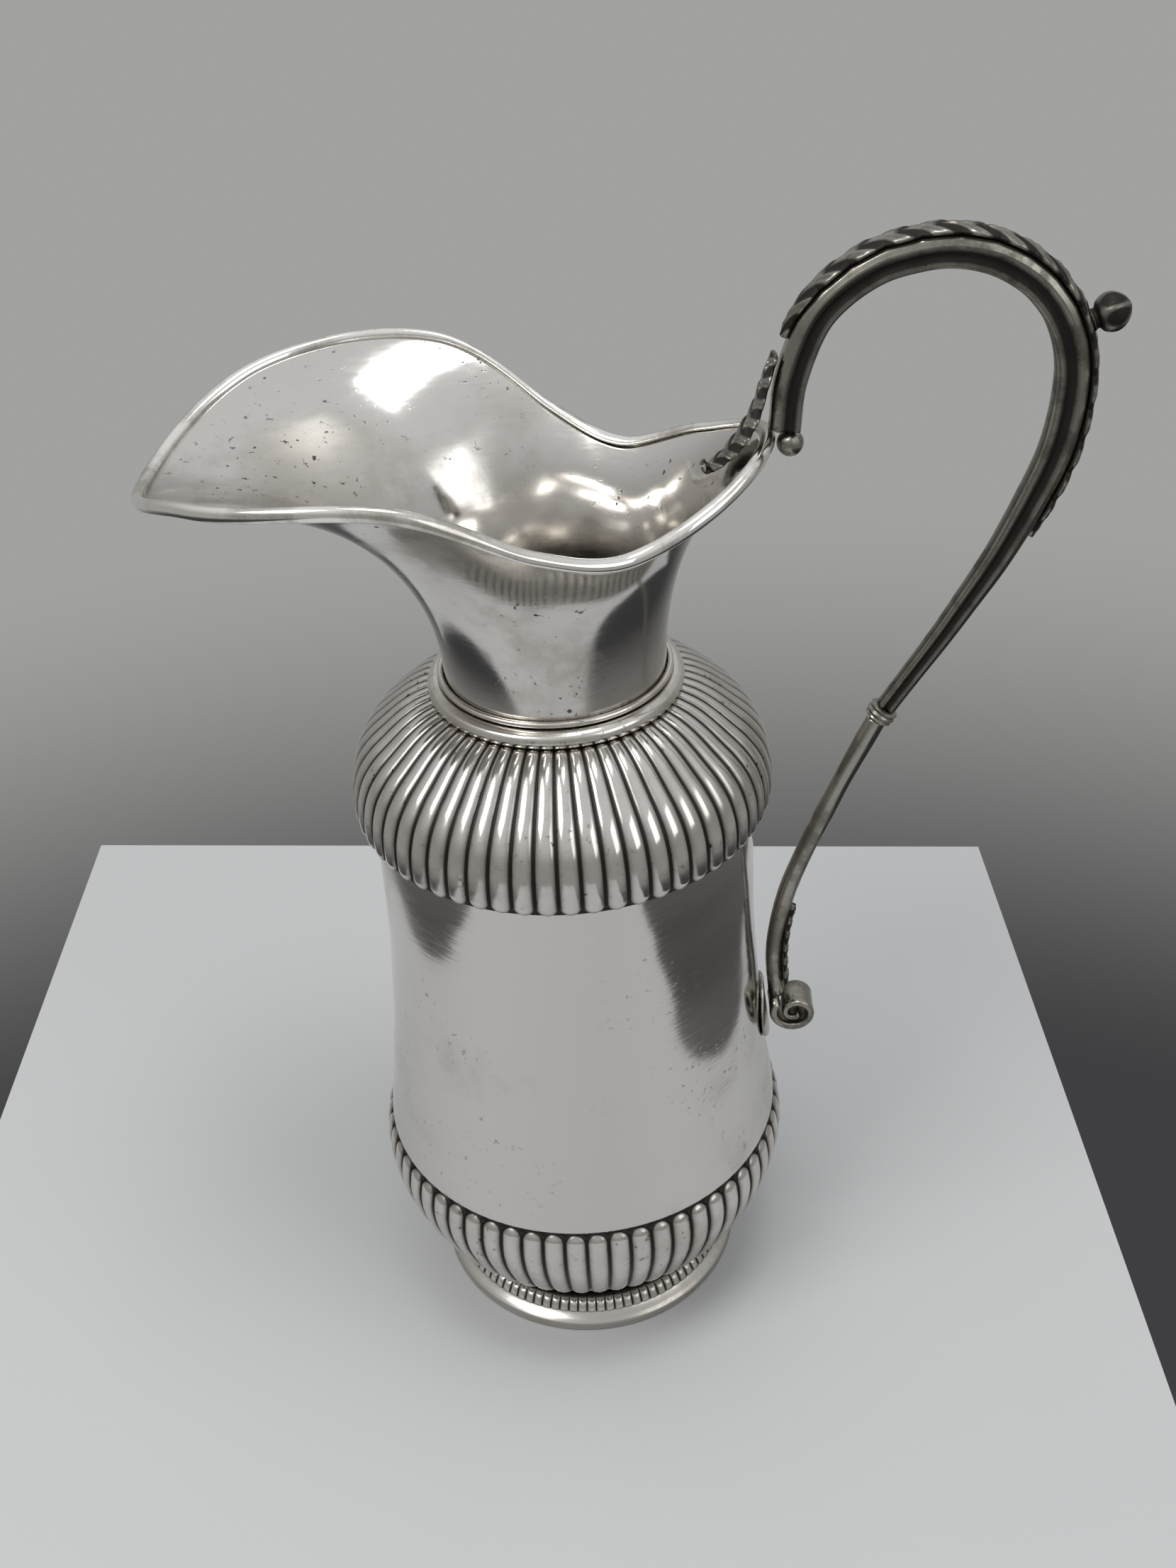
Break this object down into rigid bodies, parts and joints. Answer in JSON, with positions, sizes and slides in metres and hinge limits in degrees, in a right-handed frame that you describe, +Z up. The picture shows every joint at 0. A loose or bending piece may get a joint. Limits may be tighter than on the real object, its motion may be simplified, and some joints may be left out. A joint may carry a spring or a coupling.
{
  "type": "silver jug",
  "caption": "Open silver jug on a round foot, lobed below and at the shoulder, with a spreading spout and a tall cast loop handle ending in a scroll.",
  "frame": {"origin": "on the surface the foot stands on, under the middle of the jug's whole length from spout tip to handle", "axes": "+Z up, +X from the spout towards the handle, +Y across the jug"},
  "size_m": [0.2152, 0.1138, 0.2985],
  "materials": {
    "plain_silver": "polished silver, tarnished and lightly scratched",
    "chased_silver": "chased silver with dark tarnish in the grooves",
    "cast_silver": "cast silver under a dark patina, bright where it is rubbed",
    "bar_silver": "drawn silver, worn and dull"
  },
  "bodies": {
    "root": {"foot_ring": "plain_silver", "foot_collet": "plain_silver", "foot_reed_band": "chased_silver", "foot_fillet": "plain_silver", "lower_body": "chased_silver", "base_disc": "plain_silver", "body_wall": "plain_silver", "shoulder": "chased_silver", "neck_collar": "plain_silver", "neck_fillet": "plain_silver", "neck_and_spout": "plain_silver", "rim_wire": "plain_silver", "rim_leaf": "cast_silver", "handle_socket": "cast_silver", "handle_casting": "cast_silver", "handle_leaf": "cast_silver", "thumb_knop": "cast_silver", "joint_sleeve": "cast_silver", "handle_bar": "bar_silver", "bar_leaf": "cast_silver", "scroll": "cast_silver", "wall_tongue": "bar_silver"}
  },
  "joints": []
}
